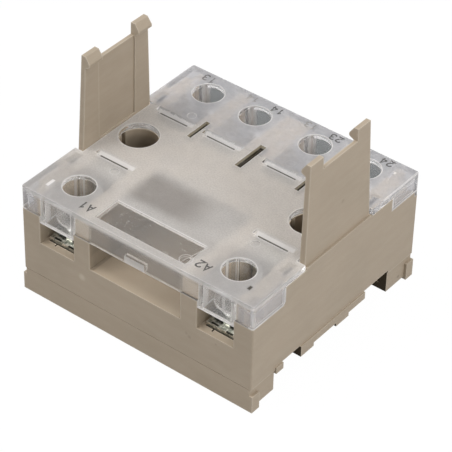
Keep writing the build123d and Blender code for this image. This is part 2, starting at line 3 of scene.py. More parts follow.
import bpy
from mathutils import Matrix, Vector


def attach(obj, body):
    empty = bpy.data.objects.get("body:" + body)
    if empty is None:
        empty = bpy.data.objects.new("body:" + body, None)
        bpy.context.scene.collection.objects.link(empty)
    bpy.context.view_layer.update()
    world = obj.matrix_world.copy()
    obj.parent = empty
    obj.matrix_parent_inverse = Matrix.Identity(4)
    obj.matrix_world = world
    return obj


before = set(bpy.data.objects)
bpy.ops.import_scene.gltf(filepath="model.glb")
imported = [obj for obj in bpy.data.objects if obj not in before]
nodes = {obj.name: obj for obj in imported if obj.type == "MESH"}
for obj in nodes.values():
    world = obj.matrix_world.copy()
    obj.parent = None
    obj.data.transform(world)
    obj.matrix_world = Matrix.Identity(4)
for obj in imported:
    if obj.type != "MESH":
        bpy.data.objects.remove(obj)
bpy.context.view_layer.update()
scene = bpy.context.scene

# Places on the CAD parts, in millimetres
MM = 0.001
cover_top = 30.8
cover_bottom = 29.2
over_top = 31.0
side_x = 33.7
front_y = -31.4
housing_front_y = -31.2
hole_radius = 3.95
mount_radius = 4.9
boss_radius = 1.55
latch_x = 31.1
latch_y = 15.9

# Each terminal's x, the y of its screw and the y of its relay tab
terminals = {
    "a1": (-23.15, -23.0, -11.0),
    "a2": (23.15, -23.0, -11.0),
    "13": (-23.15, 24.0, 10.7),
    "14": (-8.9, 24.0, 10.7),
    "23": (8.9, 24.0, 10.7),
    "24": (23.15, 24.0, 10.7),
}
right_terminals = [terminals[key] for key in ("a2", "23", "24")]
inner_x = terminals["23"][0]
outer_x = terminals["24"][0]
rear_screw_y = terminals["24"][1]

# Each dividing slot's x, half its width, and where it starts and stops
barriers = ((-15.8, 0.6, 7.4, 14.9), (0.0, 0.9, 5.8, 15.8), (15.8, 0.6, 7.4, 14.9))
right_barriers = barriers[1:]
mounts = ((-25.1, 0.4), (25.1, 0.4))
right_mount = mounts[1]
window_boss = (12.0, -27.7)

# Colours, as linear values
plain_white = (1, 1, 1, 1)
body_colour = (0.372, 0.303, 0.228, 1)
body_light = (0.43, 0.365, 0.285, 1)
body_dark = (0.315, 0.26, 0.192, 1)
base_tint = (0.99, 0.985, 0.975, 1)
# Painted highlight colour for the edges of the beige parts
edge_highlight_colour = (0.53, 0.465, 0.375, 1)
pale_mark = (0.62, 0.56, 0.47, 1)
dark_dot_and_hole_shade = (0.16, 0.13, 0.10, 1)
frost_colour = (0.50, 0.475, 0.455, 1)
frost_light = (0.64, 0.615, 0.59, 1)
# Colour of painted highlights on the clear cover
painted_highlight_colour = (0.84, 0.82, 0.81, 1)
# Colour of painted shade in slots, hollows and gaps
painted_shade_colour = (0.045, 0.035, 0.022, 1)
slot_wall = (0.40, 0.35, 0.26, 1)
rear_tint = (0.49, 0.49, 0.52, 1)
# Painted shade seen through the clearer front corners
front_corner_shade = (0.36, 0.35, 0.35, 1)
# Painted shadow over the front pocket's deep end
pocket_shade_colour = (0.2, 0.17, 0.15, 1)
# Painted shade for the skirts' lower faces
low_edge_shade = (0.28, 0.25, 0.21, 1)
clear_tint = (0.96, 0.955, 0.95, 1)
# Tints that paint in shade seen through the cover: over the front pocket and in the rear plates
pocket_shade_tint = (0.80, 0.77, 0.735, 1)
rear_shade_tint = (0.25, 0.27, 0.275, 1)
clear_shadow = (0.93, 0.93, 0.92, 1)
milky_shadow = (0.5, 0.49, 0.48, 1)
# Colours of painted reflections in the guards' round walls
reflected_light = (0.72, 0.70, 0.68, 1)
reflected_pink = (0.50, 0.42, 0.37, 1)
reflected_brown = (0.20, 0.17, 0.12, 1)
reflected_grey = (0.10, 0.10, 0.10, 1)
reflected_beige = (0.42, 0.37, 0.28, 1)
# Painted shade in the metal's hollows
metal_shade = (0.012, 0.012, 0.01, 1)
# Painted highlight on metal edges
metal_edge_highlight = (0.85, 0.84, 0.80, 1)
# Each metal's two patch colours; their contrast is partly painted uneven reflection
screw_colours = ((0.30, 0.31, 0.30, 1), (0.66, 0.66, 0.64, 1))
clamp_colours = ((0.10, 0.115, 0.095, 1), (0.48, 0.50, 0.45, 1))
contact_colours = ((0.36, 0.38, 0.33, 1), (0.86, 0.83, 0.75, 1))
spring_colours = ((0.45, 0.45, 0.44, 1), (0.62, 0.62, 0.61, 1))
ink_colour = (0.035, 0.033, 0.032, 1)
worn_ink_colour = (0.10, 0.095, 0.095, 1)
# Colour of faint painted ghost images of nearby numbers
ghost_number_colour = (0.22, 0.21, 0.20, 1)
floor_grey = (0.35, 0.35, 0.35, 1)

# Painted highlights on the cover: two corners of a box, and how bright
painted_highlight_boxes = {
    "rear edge of the window": ((-12.9, -21.65, 29.5), (12.9, -21.25, over_top), 0.95),
    "left edge of the window": ((-13.05, -29.0, 29.5), (-12.7, -21.2, over_top), 0.85),
    "light bar by the left hole": ((-29.45, -27.55, 29.0), (-28.65, -25.0, over_top), 0.95),
    "front of the lug": ((-2.95, front_y, 24.1), (2.95, -30.9, 26.2), 0.62),
    "line on the front skirt": ((-13.3, front_y, 24.8), (13.3, -31.0, 25.0), 0.16),
    "lower edge of the front skirt": ((-13.3, front_y, 24.1), (13.3, -31.0, 24.4), 0.12),
    "light spot at the rear": ((29.2, 26.6, 30.6), (29.8, 27.4, over_top), 0.9),
}

# The same for places that are alike on both sides, given for the right side
paired_highlight_boxes = {
    "front corner": ((33.0, front_y, 24.0), (side_x, -30.5, 29.3), 0.58),
    "end of the front side skirt": ((32.2, -20.25, 24.0), (side_x, -19.4, 29.2), 0.85),
    "end of the rear side skirt": ((32.2, 20.4, 25.3), (side_x, 21.2, 29.2), 0.9),
    "foot of the front side skirt": ((32.2, -31.3, 24.0), (side_x, -19.5, 24.75), 0.9),
    "foot of the rear side skirt": ((32.2, 20.5, 25.3), (side_x, 31.3, 26.05), 0.9),
    "rear corner": ((32.95, 30.4, 25.4), (side_x, 31.4, 29.3), 0.8),
    "top edge at the rear": ((33.2, 17.0, 30.4), (side_x, 31.3, over_top), 0.75),
    "line under the rear edge": ((33.4, 20.6, 28.95), (side_x, 31.3, 29.35), 0.5),
}
dark_square = ((28.4, -27.1, 29.0), (29.2, -25.75, over_top))

# Round moulding marks on both sides of the cover, drawn as painted highlights: middle, and how
# bright
ring_radius = 1.1
paired_rings = {
    "front": ((20.5, -13.8), 0.4),
    "rear outer": ((20.5, 14.4), 0.45),
    "rear inner": ((8.8, 14.5), 0.2),
}

# Painted reflections as streaks in the guards' round walls: place across the view, half width,
# strength and colour
rear_streaks = (
    (-2.9, 0.55, 0.45, reflected_pink),
    (-1.95, 0.3, 0.5, reflected_grey),
    (-1.25, 0.25, 0.6, reflected_light),
    (-0.6, 0.35, 0.5, reflected_pink),
)
front_streaks = {
    "a1": (
        (-2.6, 1.0, 0.35, reflected_beige),
        (-1.15, 0.4, 0.55, reflected_light),
        (-0.4, 0.25, 0.5, reflected_brown),
        (0.1, 0.2, 0.45, reflected_light),
        (0.8, 0.35, 0.6, reflected_light),
        (2.4, 1.1, 0.5, reflected_brown),
    ),
    "a2": (
        (-2.6, 0.35, 0.8, reflected_light),
        (-1.2, 0.5, 0.4, reflected_beige),
        (-0.55, 0.2, 0.6, reflected_light),
        (-0.1, 0.1, 0.9, reflected_light),
        (0.15, 0.1, 0.5, reflected_brown),
    ),
}

# Small marks on the beige parts: middle, radius, colour and strength
housing_marks = {
    "pale mark on the front": ((-15.7, housing_front_y, 12.9), 0.8, pale_mark, 0.35),
    "dot on the front": ((15.1, housing_front_y, 13.2), 0.35, dark_dot_and_hole_shade, 0.25),
    "second dot on the front": ((16.0, housing_front_y, 12.6), 0.4, dark_dot_and_hole_shade, 0.3),
    "dot on the right hook": ((33.0, 1.5, 39.8), 0.45, dark_dot_and_hole_shade, 0.35),
    "dot under the right window": ((23.5, housing_front_y, 14.6), 0.25, dark_dot_and_hole_shade, 0.3),
}
# Painted shade where a small hole in the rear foot looks dark
base_hole_shade = {"painted shade in a hole in the rear foot": ((33.3, 26.2, 2.2), 0.35, dark_dot_and_hole_shade, 0.6)}


def tree_of(name):
    """A new material, its node tree and its Principled shader."""
    material = bpy.data.materials.new(name)
    material.use_nodes = True
    tree = material.node_tree
    shader = tree.nodes["Principled BSDF"]
    return material, tree, shader


def feed(tree, socket, value):
    """Link the socket to another one, or set its plain value."""
    if isinstance(value, bpy.types.NodeSocket):
        tree.links.new(value, socket)
    else:
        socket.default_value = value


def put(tree, kind, inputs=None, **settings):
    """A node with its settings, whose inputs take sockets or plain values."""
    node = tree.nodes.new(kind)
    for key, value in settings.items():
        setattr(node, key, value)
    for key, value in (inputs or {}).items():
        feed(tree, node.inputs[key], value)
    return node


def maths(tree, operation, first, second=0.0, clamp=False):
    inputs = {0: first, 1: second}
    return put(tree, "ShaderNodeMath", inputs, operation=operation, use_clamp=clamp).outputs[0]


def vectors(tree, operation, inputs, output="Vector"):
    return put(tree, "ShaderNodeVectorMath", inputs, operation=operation).outputs[output]


def parts_of(tree, value):
    """The x, y and z of a vector."""
    return put(tree, "ShaderNodeSeparateXYZ", {0: value}).outputs


def times(tree, *values):
    product = values[0]
    for value in values[1:]:
        product = maths(tree, "MULTIPLY", product, value)
    return product


def most(tree, *values):
    top = values[0]
    for value in values[1:]:
        top = maths(tree, "MAXIMUM", top, value)
    return top


def rest(tree, value):
    """What is left of 1."""
    return maths(tree, "SUBTRACT", 1.0, value)


def ramp(tree, value, low, high, start=0.0, end=1.0):
    """The value spread from low..high to start..end, smoothly and held at both ends."""
    inputs = {"Value": value, "From Min": low, "From Max": high, "To Min": start, "To Max": end}
    node = put(tree, "ShaderNodeMapRange", inputs, interpolation_type="SMOOTHSTEP")
    return node.outputs["Result"]


def blend_colour(tree, share, first, second, mode="MIX"):
    node = put(tree, "ShaderNodeMix", {0: share}, data_type="RGBA", blend_type=mode)
    colours = [socket for socket in node.inputs if socket.type == "RGBA"]
    feed(tree, colours[0], first)
    feed(tree, colours[1], second)
    return [socket for socket in node.outputs if socket.type == "RGBA"][0]


def blend_shaders(tree, share, first, second):
    inputs = {0: share, 1: first.outputs[0], 2: second.outputs[0]}
    return put(tree, "ShaderNodeMixShader", inputs)


def show(tree, shader):
    """Make this shader the material's surface."""
    feed(tree, tree.nodes["Material Output"].inputs["Surface"], shader.outputs[0])


def place_in_mm(tree):
    """The surface point in the row frame, in millimetres."""
    coordinates = put(tree, "ShaderNodeTexCoord")
    return vectors(tree, "SCALE", {"Vector": coordinates.outputs["Object"], "Scale": 1 / MM})


def facing(tree):
    """The three parts of the surface's direction."""
    return parts_of(tree, put(tree, "ShaderNodeTexCoord").outputs["Normal"])


def noise(tree, place, scale, detail=3.0, roughness=0.55, stretch=None):
    """Noise from 0 to 1 with about `scale` bumps in each millimetre."""
    if stretch:
        place = vectors(tree, "MULTIPLY", {0: place, 1: stretch})
    inputs = {"Vector": place, "Scale": scale, "Detail": detail, "Roughness": roughness}
    return put(tree, "ShaderNodeTexNoise", inputs).outputs[0]


def edges(tree, reach):
    """1 on outside edges and 0 on flat faces, from the occlusion inside the solid."""
    node = put(tree, "ShaderNodeAmbientOcclusion", inside=True, only_local=True, samples=8)
    node.inputs["Distance"].default_value = reach
    open_face = 0.92
    sharp_edge = 0.55
    return ramp(tree, node.outputs["AO"], open_face, sharp_edge)


def bump(tree, shader, height, strength, distance):
    inputs = {"Height": height, "Strength": strength, "Distance": distance}
    feed(tree, shader.inputs["Normal"], put(tree, "ShaderNodeBump", inputs).outputs["Normal"])


def box_at(x, half, depths, heights):
    """Two corners of a box about x, between two depths and two heights."""
    return (x - half, depths[0], heights[0]), (x + half, depths[1], heights[1])


def own_end(screw_y, nearer, further):
    """Two depths from the middle at a terminal's own end, the lower y first."""
    out = 1 if screw_y > 0 else -1
    return sorted((out * nearer, out * further))


def in_box(tree, place, low, high, soft=0.12):
    """1 inside the box and 0 outside it, in millimetres, over a soft edge."""
    middle = [(a + b) / 2 for a, b in zip(low, high)]
    half = [(b - a) / 2 for a, b in zip(low, high)]
    away = vectors(tree, "SUBTRACT", {0: place, 1: middle})
    size = vectors(tree, "ABSOLUTE", {0: away})
    over = vectors(tree, "SUBTRACT", {0: size, 1: half})
    return ramp(tree, most(tree, *parts_of(tree, over)), -soft, soft, 1.0, 0.0)


def near(tree, place, middle, radius, soft):
    """1 near a point and 0 away from it, in millimetres."""
    away = vectors(tree, "DISTANCE", {0: place, 1: middle}, "Value")
    return ramp(tree, away, radius - soft, radius + soft, 1.0, 0.0)


def in_band(tree, value, middle, half):
    """1 where the value is near the middle and 0 where it is further than the half width."""
    away = maths(tree, "ABSOLUTE", maths(tree, "SUBTRACT", value, middle))
    return ramp(tree, away, half * 0.5, half * 1.5, 1.0, 0.0)


def in_ring(tree, place, z, middle, radius, half, heights):
    """1 near a round wall of that radius about a vertical axis, between two heights.

    z is the place's own height, handed in so that all rings share one node for it.
    """
    flat = vectors(tree, "MULTIPLY", {0: place, 1: (1, 1, 0)})
    away = vectors(tree, "DISTANCE", {0: flat, 1: (*middle, 0)}, "Value")
    ring = in_band(tree, away, radius, half)
    above = maths(tree, "GREATER_THAN", z, heights[0])
    below = maths(tree, "LESS_THAN", z, heights[1])
    return times(tree, ring, times(tree, above, below))


def moulded_plastic(name, marks, tint=plain_white, shades=(), hollow=False):
    """Beige moulded plastic: a faint flow pattern, fine grain, painted edge highlights and
    painted shade.
    """
    material, tree, shader = tree_of(name)
    place = place_in_mm(tree)
    cloud = ramp(tree, noise(tree, place, scale=0.06, detail=4.0), 0.35, 0.68)
    grain = noise(tree, place, scale=3.2, detail=2.0, roughness=0.7)
    flow = noise(tree, place, scale=0.35, roughness=0.6, stretch=(0.35, 0.35, 1.6))
    darker = ramp(tree, cloud, 0, 1, start=0.05, end=0.4)
    colour = blend_colour(tree, darker, body_colour, body_dark)
    colour = blend_colour(tree, ramp(tree, flow, 0.35, 0.75, end=0.25), colour, body_light)
    colour = blend_colour(tree, ramp(tree, grain, 0.45, 0.8, end=0.16), colour, body_light)

    # Painted highlights on the edges, but hardly along the seam at the front
    edge_highlight_strength = 0.5
    seam_loss = 0.42
    seam = in_box(tree, place, (-40, -32, 6.0), (40, -30.6, 7.0), soft=0.1)
    edge_highlight = edges(tree, reach=0.0005)
    edge_highlight_share = maths(tree, "SUBTRACT", edge_highlight_strength, times(tree, seam, seam_loss))
    colour = blend_colour(tree, times(tree, edge_highlight, edge_highlight_share), colour, edge_highlight_colour)
    # Painted shade in the given boxes
    for low, high, soft, strength in shades:
        share = times(tree, in_box(tree, place, low, high, soft), strength)
        colour = blend_colour(tree, share, colour, painted_shade_colour)
    for middle, radius, mark_colour, strength in marks.values():
        share = times(tree, near(tree, place, middle, radius, soft=radius * 0.7), strength)
        colour = blend_colour(tree, share, colour, mark_colour)
    if tint != plain_white:
        colour = blend_colour(tree, 1.0, colour, tint, "MULTIPLY")
    feed(tree, shader.inputs["Base Color"], colour)
    feed(tree, shader.inputs["Roughness"], ramp(tree, grain, 0.3, 0.7, start=0.46, end=0.58))
    shader.inputs["Specular IOR Level"].default_value = 0.4
    flow_depth = 1.5
    height = maths(tree, "ADD", grain, times(tree, flow, flow_depth))
    bump(tree, shader, height, strength=0.25, distance=0.00004)
    if hollow:
        # Painted shade: faces that look forward inside the rail groove get a dark, dull shader
        # mixed in
        forward = ramp(tree, facing(tree)["Y"], -0.5, -0.9)
        groove = in_box(tree, place, (-40, -16, 0.6), (40, 21.6, 7.6), soft=0.2)
        groove_shade = put(tree, "ShaderNodeBsdfDiffuse", {"Color": painted_shade_colour})
        groove_shade_share = 0.9
        show(tree, blend_shaders(tree, times(tree, forward, groove, groove_shade_share), shader, groove_shade))
    return material


def clear_plastic(name):
    """Clear plastic: frosted on top, clearer at the back, with painted highlights on edges and
    rims, painted reflections and painted shade.
    """
    material, tree, shader = tree_of(name)
    place = place_in_mm(tree)
    x, y, z = parts_of(tree, place)
    off = maths(tree, "ABSOLUTE", x)
    mirrored = put(tree, "ShaderNodeCombineXYZ", {0: off, 1: y, 2: z}).outputs[0]
    direction = facing(tree)
    up = direction["Z"]
    upward = ramp(tree, up, 0.3, 0.7)
    level = ramp(tree, maths(tree, "ABSOLUTE", up), 0.3, 0.7)
    upright = ramp(tree, maths(tree, "ABSOLUTE", up), 0.7, 0.3)
    sideways = ramp(tree, maths(tree, "ABSOLUTE", direction["X"]), 0.3, 0.7)
    cloud = noise(tree, place, scale=0.16, detail=4.0)
    lumps = noise(tree, place, scale=0.45, detail=4.0, roughness=0.65)
    sand = noise(tree, place, scale=2.6, detail=2.0, roughness=0.8)
    speck = noise(tree, place, scale=1.5, detail=2.0, roughness=0.85)
    speck = ramp(tree, speck, 0.62, 0.68)
    edge_highlight = edges(tree, reach=0.0004)

    # The frosted top, clearer behind the tab slots and at the front corners
    top = times(tree, upward, ramp(tree, z, cover_bottom + 0.2, cover_bottom + 0.5))
    window = in_box(tree, place, (-13.1, -29.2, 0), (12.9, -21.4, 40), soft=0.15)
    rear = ramp(tree, maths(tree, "ADD", y, times(tree, lumps, 3.0)), 12.0, 15.5)
    front_ends = times(tree, ramp(tree, off, 14.0, 18.0), ramp(tree, y, -15.0, -20.0))
    clearer = most(tree, rear, times(tree, front_ends, 0.45))
    milk = ramp(tree, cloud, 0.35, 0.65, start=0.74, end=0.84)
    thin = ramp(tree, lumps, 0.32, 0.68, start=0.17, end=0.02)
    milk = maths(tree, "SUBTRACT", milk, times(tree, clearer, thin))

    # The clear window in it, with a little dust
    window_share = 0.93
    milk = times(tree, top, milk, rest(tree, times(tree, window, window_share)))
    dust = maths(tree, "ADD", times(tree, speck, 0.5), ramp(tree, sand, 0.4, 0.75, end=0.1))
    milk = maths(tree, "ADD", milk, times(tree, dust, window, upward))
    frost = times(tree, upward, rest(tree, window), rest(tree, times(tree, clearer, 0.85)))

    # A thin haze in the skirts, stronger at the sides
    least_haze = 0.03
    skirt_haze = 0.07
    side_haze = 0.38
    skirt = ramp(tree, z, cover_bottom + 0.1, cover_bottom - 0.3)
    wide = ramp(tree, off, 28.5, 29.5)
    side_skirt = times(tree, skirt, wide)
    milk = most(tree, milk, times(tree, skirt, skirt_haze), times(tree, side_skirt, side_haze))
    milk = most(tree, milk, least_haze)

    # The haze's colour, with painted shade at the clearer front corners and a painted shadow
    # over the deep end of the front pocket
    pocket_shade_share = 0.54
    shade = blend_colour(tree, ramp(tree, sand, 0.3, 0.7), frost_colour, frost_light)
    shade = blend_colour(tree, times(tree, rear, 0.8), shade, rear_tint)
    shade = blend_colour(tree, times(tree, front_ends, 0.62), shade, front_corner_shade)
    shade = blend_colour(tree, times(tree, side_skirt, 0.8), shade, rear_tint)
    patch = times(tree, ramp(tree, y, -20.2, -16.6), ramp(tree, y, -6.5, -10.8))
    patch = times(tree, patch, ramp(tree, x, -15.0, -10.8), ramp(tree, x, 9.0, -1.0))
    shade = blend_colour(tree, times(tree, patch, pocket_shade_share), shade, pocket_shade_colour)

    # Painted highlights on the outside edges, front lip and guards' lower edges; painted shade
    # on the skirts' lower edges
    outer = rest(tree, in_box(tree, place, (-33.35, -30.95, 0), (33.35, 30.95, 40)))
    lip = ramp(tree, z, cover_bottom - 1.4, cover_top - 0.5, end=0.48)
    lip = most(tree, lip, ramp(tree, z, cover_top - 0.45, cover_top - 0.15, end=0.7))
    lip = times(tree, outer, upright, lip)
    low_ends = times(tree, level, ramp(tree, z, 26.0, 25.8), 0.85)
    guard_ends = times(tree, level, ramp(tree, z, 22.9, 22.7), 0.75)
    bright = most(tree, times(tree, edge_highlight, 0.7), lip, guard_ends)

    # Painted highlights on the hole rims, guards, and the bars beside the relay tab slots
    rim_heights = (30.45, cover_top + 1)
    foot_radius = 4.6
    foot_heights = (22, 22.9)
    bar_heights = (29.7, over_top)
    for tx, screw_y, tab_y in right_terminals:
        middle = (tx, screw_y)
        hole_rim = in_ring(tree, mirrored, z, middle, hole_radius, 0.22, rim_heights)
        foot = in_ring(tree, mirrored, z, middle, foot_radius, 0.55, foot_heights)
        bar = box_at(tx, 5.2, (tab_y + 0.6, tab_y + 1.5), bar_heights)
        bar = times(tree, in_box(tree, mirrored, *bar, soft=0.15), upward)
        thin_bar = box_at(tx, 4.9, (tab_y - 0.95, tab_y - 0.6), bar_heights)
        thin_bar = times(tree, in_box(tree, mirrored, *thin_bar), upward)
        lower = box_at(tx, 5.3, own_end(screw_y, 29.9, 31.5), foot_heights)
        lower = in_box(tree, mirrored, *lower, soft=0.1)
        legs = box_at(tx, 5.25, own_end(screw_y, 28.0, 31.5), (22.3, 29.2))
        legs = in_box(tree, mirrored, *legs, soft=0.1)
        masks = (
            times(tree, hole_rim, 0.8),
            times(tree, bar, 0.85),
            times(tree, thin_bar, 0.4),
            times(tree, lower, 0.8),
            times(tree, legs, sideways, 0.55),
            times(tree, foot, 0.5),
        )
        bright = most(tree, bright, *masks)
        milk = most(tree, milk, times(tree, legs, 0.12))
    mount_heights = (30.4, cover_top + 1)
    mount_rim = in_ring(tree, mirrored, z, right_mount, mount_radius, 0.25, mount_heights)
    bright = most(tree, bright, times(tree, mount_rim, 0.6))

    # Single painted highlights, and round moulding marks drawn as painted highlights
    for low, high, strength in painted_highlight_boxes.values():
        bright = most(tree, bright, times(tree, in_box(tree, place, low, high), strength))
    for low, high, strength in paired_highlight_boxes.values():
        bright = most(tree, bright, times(tree, in_box(tree, mirrored, low, high), strength))
    ring_half = 0.11
    ring_heights = (28.5, over_top)
    for middle, strength in paired_rings.values():
        ring = in_ring(tree, mirrored, z, middle, ring_radius, ring_half, ring_heights)
        bright = most(tree, bright, times(tree, ring, strength))
    boss = in_ring(tree, place, z, window_boss, boss_radius, ring_half, ring_heights)
    bright = most(tree, bright, times(tree, boss, 0.55))
    milk = most(tree, milk, bright, low_ends)
    # Painted shade on the skirts' lower faces
    shade = blend_colour(tree, low_ends, shade, low_edge_shade)
    # Painted highlights whiten the haze
    shade = blend_colour(tree, bright, shade, painted_highlight_colour)

    # These streaks are painted reflections
    # Upright light and dark streaks in the guards' round walls, placed across the photo's view
    view_right = (0.784, 0.621)
    wall_half = 0.2
    wall_heights = (22.3, 30.6)
    outer_pair = maths(tree, "GREATER_THAN", off, 16.0)
    pair_x = maths(tree, "ADD", times(tree, outer_pair, outer_x - inner_x), inner_x)
    rear_x = times(tree, maths(tree, "SIGN", x), maths(tree, "SUBTRACT", off, pair_x))
    rear_walls = [
        in_ring(tree, mirrored, z, (wall_x, rear_screw_y), hole_radius, wall_half, wall_heights)
        for wall_x in (inner_x, outer_x)
    ]
    walls = [(most(tree, *rear_walls), rear_x, rear_screw_y, rear_streaks)]
    for key, streaks in front_streaks.items():
        middle = terminals[key][:2]
        wall = in_ring(tree, place, z, middle, hole_radius, wall_half, wall_heights)
        walls.append((wall, maths(tree, "SUBTRACT", x, middle[0]), middle[1], streaks))
    for wall, along_x, screw_y, streaks in walls:
        along_y = maths(tree, "SUBTRACT", y, screw_y)
        shares = times(tree, along_x, view_right[0]), times(tree, along_y, view_right[1])
        across = maths(tree, "ADD", *shares)
        for middle, half, strength, colour in streaks:
            streak = times(tree, wall, in_band(tree, across, middle, half), strength)
            milk = most(tree, milk, streak)
            shade = blend_colour(tree, streak, shade, colour)

    # Dark places: a small square, and painted shade over the relay tabs' openings and, softly,
    # over the latches
    dark = times(tree, in_box(tree, place, *dark_square, soft=0.15), 0.9)
    for tx, screw_y, tab_y in right_terminals:
        opening = box_at(tx, 4.45, (tab_y - 0.6, tab_y + 0.7), (28, 30.5))
        opening = in_box(tree, mirrored, *opening, soft=0.08)
        dark = most(tree, dark, times(tree, opening, 0.92))
    for middle_y in (-latch_y, latch_y):
        latch = box_at(latch_x, 1.0, (middle_y - 1.9, middle_y + 1.9), (30.6, over_top))
        latch = in_box(tree, mirrored, *latch, soft=0.5)
        dark = most(tree, dark, times(tree, latch, 0.3))
    milk = most(tree, milk, dark)
    shade = blend_colour(tree, dark, shade, painted_shade_colour)

    # Dividing slots: light walls at the top, painted shade below
    deep = ramp(tree, z, 30.1, 29.7)
    past = 0.1
    for middle_x, half, start, stop in right_barriers:
        slot = box_at(middle_x, half + past, (start - past, stop + past), (28, 30.75))
        wall = times(tree, in_box(tree, mirrored, *slot, soft=0.1), upright)
        milk = most(tree, milk, times(tree, wall, 0.92))
        shade = blend_colour(tree, wall, shade, slot_wall)
        shade = blend_colour(tree, times(tree, wall, deep), shade, painted_shade_colour)

    # Painted shade: a darker tint over the front pocket, and grey in the plates that close the
    # rear windows
    grey = in_box(tree, place, (-28.2, 29.9, 22), (28.2, 31.4, 29.1), soft=0.1)
    pocket_shade_area = in_box(tree, place, (-13.1, front_y, 24.0), (12.9, -21.4, over_top), soft=0.1)
    tint = blend_colour(tree, pocket_shade_area, clear_tint, pocket_shade_tint)
    tint = blend_colour(tree, grey, tint, rear_shade_tint)
    feed(tree, shader.inputs["Base Color"], tint)
    shader.inputs["IOR"].default_value = 1.46
    shader.inputs["Transmission Weight"].default_value = 1.0
    feed(tree, shader.inputs["Roughness"], ramp(tree, frost, 0, 1, start=0.02, end=0.4))
    lump_depth = 3.0
    height = times(tree, maths(tree, "ADD", sand, times(tree, lumps, lump_depth)), top)
    bump(tree, shader, height, strength=0.3, distance=0.00005)

    # Haze over the clear plastic, and a soft shadow in place of a black one
    glow_share = 0.3
    film = put(tree, "ShaderNodeBsdfDiffuse", {"Color": shade})
    glow = put(tree, "ShaderNodeBsdfTranslucent", {"Color": shade})
    haze = blend_shaders(tree, glow_share, film, glow)
    body = blend_shaders(tree, milk, shader, haze)
    dim = most(tree, times(tree, window, 0.7), top)
    shadow = blend_colour(tree, dim, clear_shadow, milky_shadow)
    through = put(tree, "ShaderNodeBsdfTransparent", {"Color": shadow})
    shadow_ray = put(tree, "ShaderNodeLightPath").outputs["Is Shadow Ray"]
    show(tree, blend_shaders(tree, shadow_ray, body, through))
    return material


def plated_metal(name, colours, rough, hollows=()):
    """Plated metal with fine brushing, patches partly real dullness and partly painted uneven
    reflection, painted edge highlights and painted shade in hollows.
    """
    material, tree, shader = tree_of(name)
    place = place_in_mm(tree)
    patch = noise(tree, place, scale=1.1, detail=4.0, roughness=0.7)
    brush = noise(tree, place, scale=6.0, detail=2.0, roughness=0.6, stretch=(1.0, 0.12, 1.0))
    colour = blend_colour(tree, ramp(tree, patch, 0.42, 0.58), *colours)
    colour = blend_colour(tree, times(tree, edges(tree, reach=0.0003), 0.6), colour, metal_edge_highlight)
    for low, high in hollows:
        share = times(tree, in_box(tree, place, low, high), 0.95)
        colour = blend_colour(tree, share, colour, metal_shade)
    feed(tree, shader.inputs["Base Color"], colour)
    shader.inputs["Metallic"].default_value = 1.0
    roughness = ramp(tree, brush, 0.3, 0.7, start=rough - 0.06, end=rough + 0.1)
    feed(tree, shader.inputs["Roughness"], roughness)
    bump(tree, shader, brush, strength=0.2, distance=0.00002)
    return material


def ink(name, colour):
    """Printed ink, thin in places."""
    material, tree, shader = tree_of(name)
    wear = noise(tree, place_in_mm(tree), scale=3.0)
    frost_share = 0.4
    lighter = [a + (b - a) * frost_share for a, b in zip(colour, frost_colour)]
    worn = blend_colour(tree, ramp(tree, wear, 0.45, 0.75), colour, lighter)
    feed(tree, shader.inputs["Base Color"], worn)
    shader.inputs["Roughness"].default_value = 0.55
    return material


def dress(name, material):
    """Give a CAD node this material alone."""
    slots = nodes[name].data.materials
    slots.clear()
    slots.append(material)


# Painted shade in the housing's pocket, slots, mount wells and terminal gaps: two corners of a
# box, soft edge and strength
slot_margin = 0.2
housing_shades = []
for x, half, start, stop in barriers:
    depths = (start - slot_margin, stop + slot_margin)
    slot = box_at(x, half + slot_margin, depths, (19, 29.3))
    housing_shades.append((*slot, 0.15, 0.9))
pocket_half = 13.5
pocket_back = -6.0
well_top = 29.5
deep_end = box_at(0, pocket_half, (-23.0, pocket_back), (15.9, well_top))
upper_part = box_at(0, pocket_half, (-30.0, pocket_back), (20.5, well_top))
left_wall = ((-14.0, -31.0, 14.0), (-12.4, pocket_back, well_top))
pocket_floor = box_at(0, pocket_half, (-29.5, pocket_back), (13.0, 20.5))
housing_shades += [
    (*deep_end, 2.0, 0.78),
    (*upper_part, 1.5, 0.42),
    (*left_wall, 0.2, 0.3),
    (*pocket_floor, 1.5, 0.25),
]
mount_half = 5.4
for x, y in mounts:
    well = box_at(x, mount_half, (y - mount_half, y + mount_half), (8.0, 27.5))
    housing_shades.append((*well, 1.2, 0.38))
gap_heights = (15.7, 16.25)
tick_x = -1.9
for key in ("a1", "a2"):
    x = terminals[key][0]
    gap = box_at(x, 4.4, (-29.2, -28.7), gap_heights)
    tick = box_at(x + tick_x, 0.25, (-30.0, -29.0), gap_heights)
    walls = box_at(x, 5.4, (-30.8, -20.0), (16.6, 24.0))
    housing_shades += [(*gap, 0.06, 0.95), (*tick, 0.06, 0.95), (*walls, 0.6, 0.3)]

# Painted shade in the hollows of the contact strips and in the clamps' grooves
strip_heights = (16.95, 17.5)
groove_heights = (17.2, 18.1)
strip_hollows = []
groove_hollows = []
for x, screw_y, tab_y in terminals.values():
    for across, depth in ((-2.15, 28.35), (2.2, 28.75)):
        depths = own_end(screw_y, depth - 0.3, depth + 0.3)
        strip_hollows.append(box_at(x + across, 0.95, depths, strip_heights))
    for across in (-2.05, 2.05):
        depths = (screw_y - 4.2, screw_y + 4.2)
        groove_hollows.append(box_at(x + across, 1.15, depths, groove_heights))

